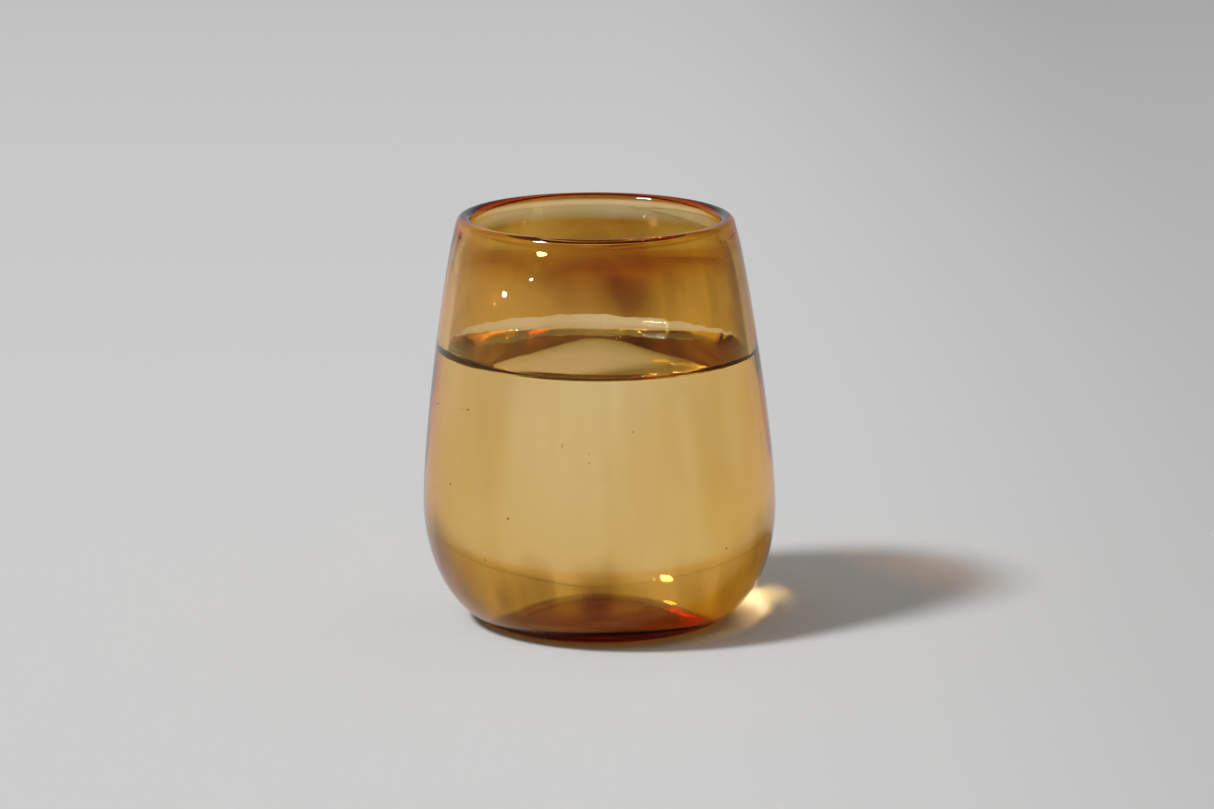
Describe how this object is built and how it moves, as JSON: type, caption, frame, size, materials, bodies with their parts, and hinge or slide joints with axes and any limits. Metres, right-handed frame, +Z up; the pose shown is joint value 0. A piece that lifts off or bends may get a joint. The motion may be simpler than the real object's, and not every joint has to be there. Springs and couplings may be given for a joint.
{
  "type": "glass tumbler",
  "caption": "Hand-blown rounded amber glass tumbler with a rolled lip and a pushed-up base, part filled with still water.",
  "frame": {"origin": "centre of the foot, on the plane that the tumbler stands on", "axes": "+Z up along the axis that the tumbler was turned about; the tumbler is round, so X and Y are free"},
  "size_m": [0.0866, 0.0866, 0.1],
  "materials": {
    "amber_glass": "clear amber blown glass, fire polished, with seeds and soft cords",
    "water": "clear still water"
  },
  "bodies": {
    "root": {"tumbler_glass": "amber_glass", "still_water": "water"}
  },
  "joints": []
}
